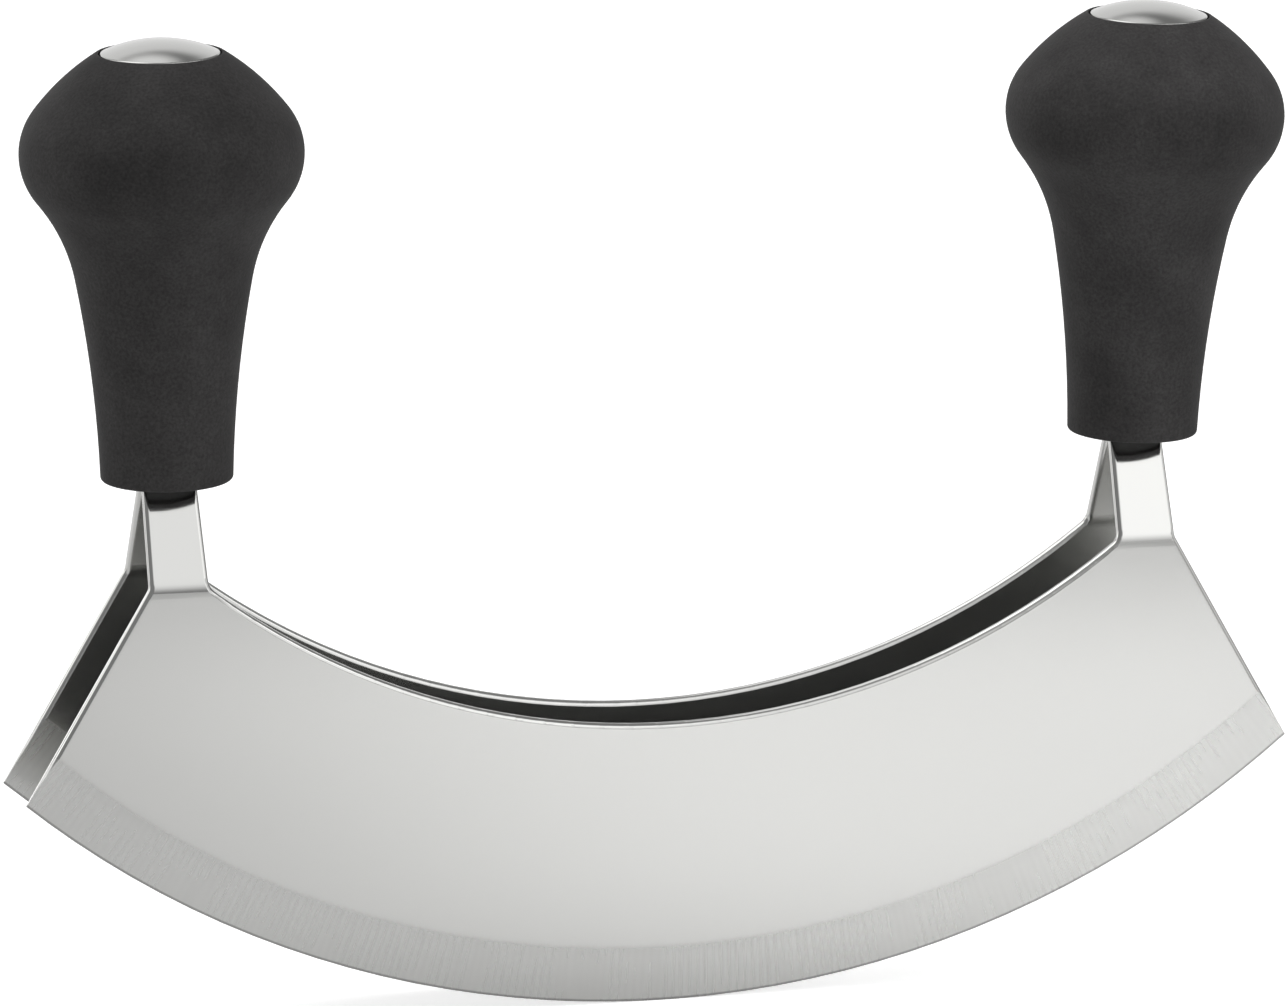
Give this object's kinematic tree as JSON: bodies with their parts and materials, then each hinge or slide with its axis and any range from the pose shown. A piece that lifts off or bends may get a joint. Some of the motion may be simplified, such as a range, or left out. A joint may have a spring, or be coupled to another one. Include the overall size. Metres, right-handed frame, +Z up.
{
  "type": "mezzaluna",
  "caption": "Rocking herb chopper: parallel curved blades with bent-in necks, carried by upright moulded knobs with domed steel caps.",
  "frame": {"origin": "where the cutting edges touch the board, midway between the blades, at the bottom centre of the whole part", "axes": "+X along the blades from the left knob to the right knob, -Y towards the front blade, +Z up through the knobs"},
  "size_m": [0.21, 0.0448, 0.1584],
  "materials": {
    "blade_steel": "satin-polished stainless sheet, ground along the cutting edge",
    "grip_plastic": "finely textured black moulded plastic",
    "seal_rubber": "matte black rubber",
    "core_plastic": "glass-filled moulded plastic, matte",
    "pin_steel": "ground stainless dowel",
    "insert_brass": "turned brass",
    "screw_steel": "stainless screw and washer",
    "cap_steel": "mirror-polished stainless pressing"
  },
  "bodies": {
    "root": {"front_blade": "blade_steel", "rear_blade": "blade_steel", "left_grip": "grip_plastic", "right_grip": "grip_plastic", "left_seal": "seal_rubber", "right_seal": "seal_rubber", "left_core": "core_plastic", "right_core": "core_plastic", "left_lower_pin": "pin_steel", "left_upper_pin": "pin_steel", "right_lower_pin": "pin_steel", "right_upper_pin": "pin_steel", "left_insert": "insert_brass", "right_insert": "insert_brass", "left_screw": "screw_steel", "right_screw": "screw_steel", "left_washer": "screw_steel", "right_washer": "screw_steel", "left_cap": "cap_steel", "right_cap": "cap_steel"}
  },
  "joints": []
}
